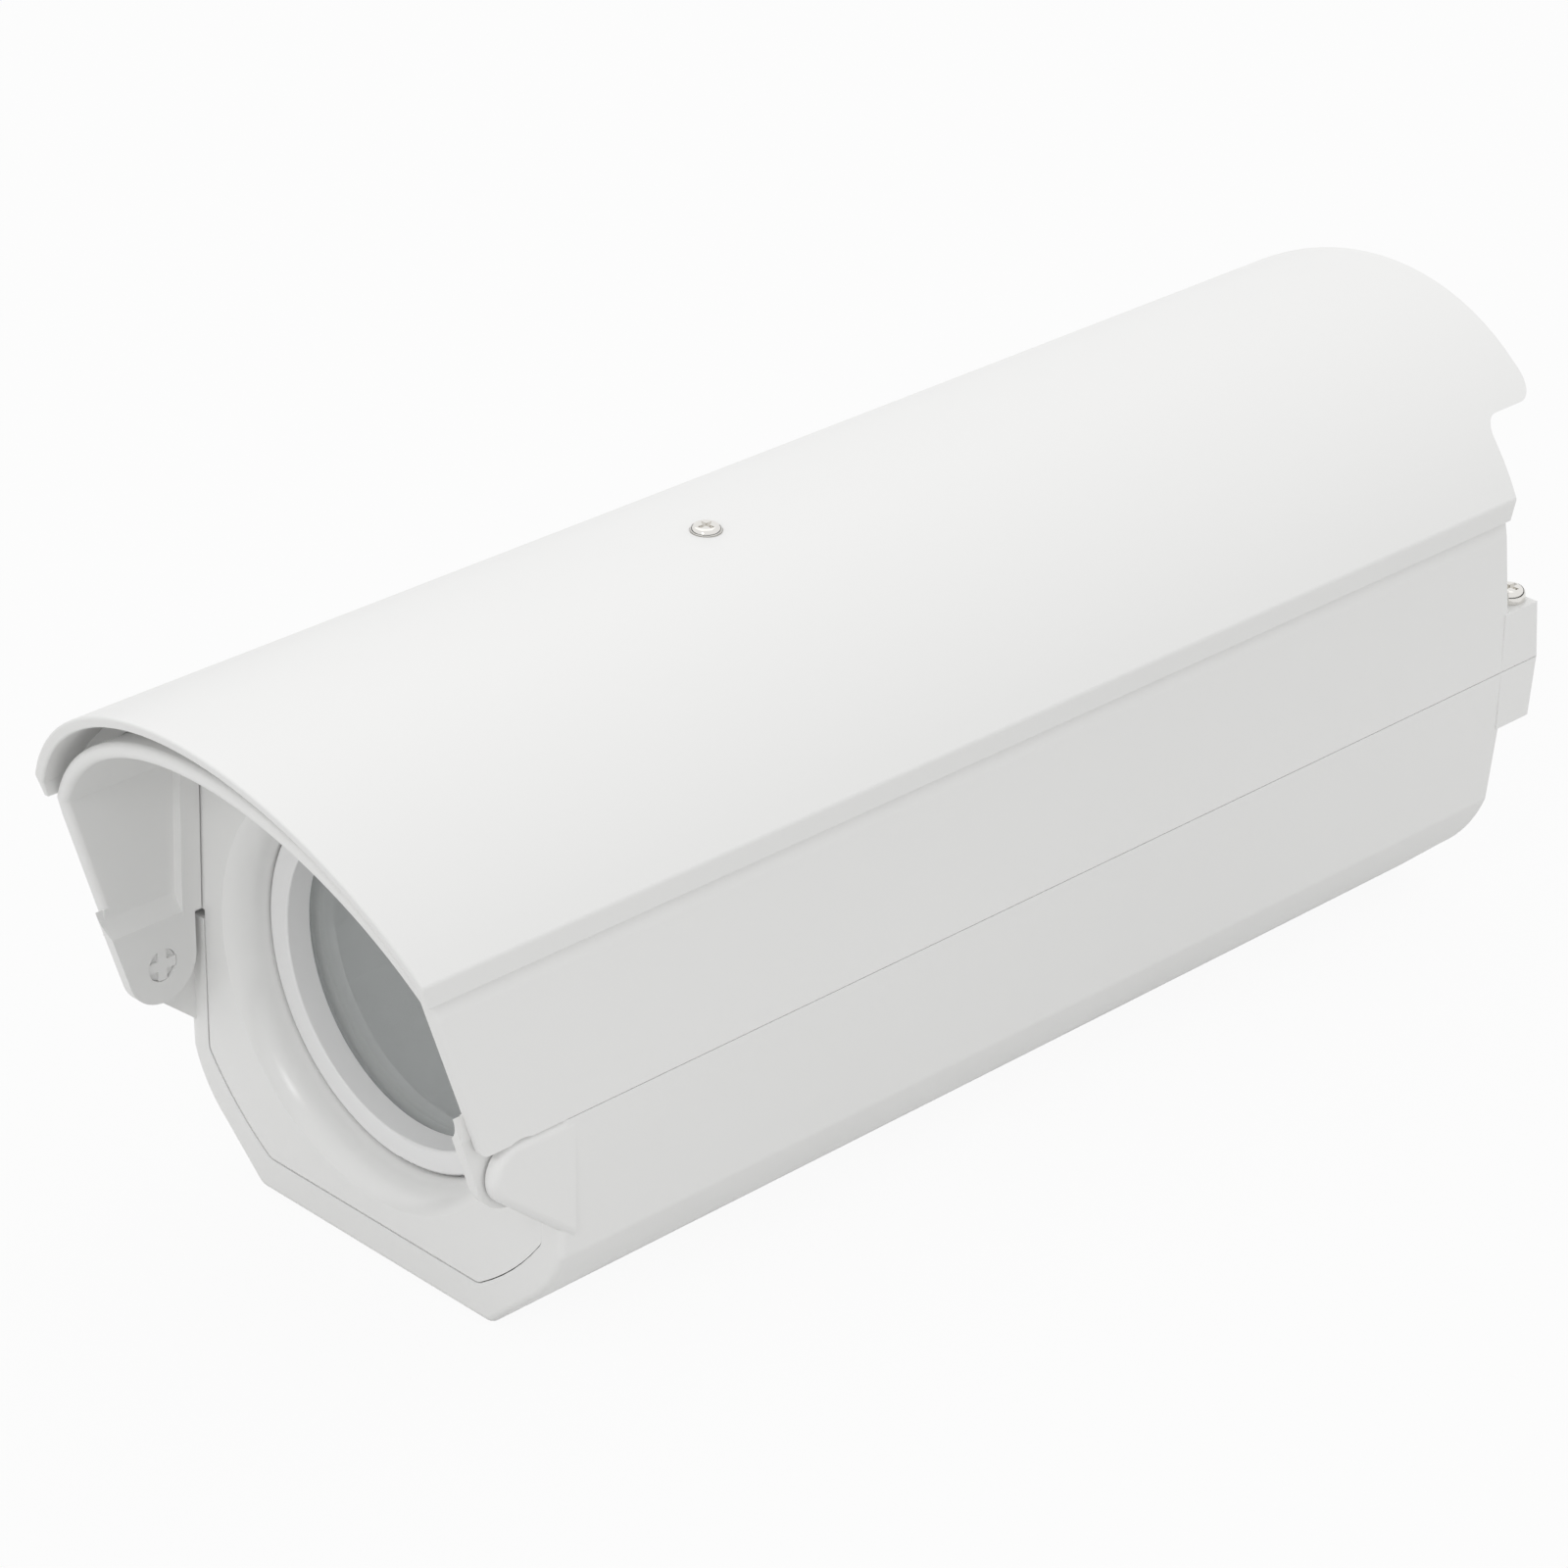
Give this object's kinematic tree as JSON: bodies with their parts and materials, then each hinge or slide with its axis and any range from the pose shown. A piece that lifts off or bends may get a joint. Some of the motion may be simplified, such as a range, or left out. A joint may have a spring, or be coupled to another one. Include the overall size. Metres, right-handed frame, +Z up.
{
  "type": "security camera housing",
  "caption": "Long outdoor camera housing with a hinged cover, a curved sunshield, a front hood, a round window in a flat panel, an inner camera plate and a cable gland.",
  "frame": {"origin": "middle of the flat underside, below the centre of the overall length", "axes": "+Z up, the window looks along -Y, +X is the side seen at right in the picture"},
  "size_m": [0.105, 0.317, 0.1208],
  "materials": {
    "white_abs": "fine satin moulded ABS",
    "white_abs_ring": "satin moulded ABS",
    "clear_window": "clear flat glass",
    "seal_rubber": "white silicone rubber seal",
    "steel_screw": "bright plated steel",
    "brass_insert": "turned brass",
    "zinc_plate": "zinc plated sheet steel",
    "nylon_washer": "natural nylon",
    "grey_nylon": "moulded nylon"
  },
  "bodies": {
    "base": {"lower_shell": "white_abs", "front_panel": "white_abs", "window_ring": "white_abs_ring", "window_glass": "clear_window", "window_gasket": "seal_rubber", "panel_seal": "seal_rubber", "cover_seal": "seal_rubber", "panel_screws": "steel_screw", "camera_plate_screws": "steel_screw", "cover_screw_inserts": "brass_insert", "bracket_inserts": "brass_insert", "camera_plate": "zinc_plate", "gland_body": "grey_nylon", "gland_locknut": "grey_nylon", "gland_washer": "seal_rubber", "gland_seal": "seal_rubber"},
    "cover": {"upper_shell": "white_abs", "sunshield": "white_abs", "sunshield_screw": "steel_screw", "sunshield_washer": "steel_screw", "cover_screws": "steel_screw", "cover_screw_washers": "steel_screw"},
    "camera_stud": {"camera_screw": "steel_screw", "camera_screw_washer": "nylon_washer"},
    "gland_nut": {"gland_nut": "grey_nylon"}
  },
  "joints": [
    {"name": "cover_hinge", "type": "hinge", "parent": "base", "child": "cover", "pos_m": [0, -0.1269, 0.0448], "axis": [1, 0, 0], "range_deg": [0, 95]},
    {"name": "camera_stud_slide", "type": "slide", "parent": "base", "child": "camera_stud", "axis": [0, 1, 0], "range_m": [-0.043, 0.043]},
    {"name": "gland_nut_turn", "type": "hinge", "parent": "base", "child": "gland_nut", "pos_m": [0, 0.15162, 0.026], "axis": [0, 1, 0], "range_deg": [-180, 180]}
  ]
}
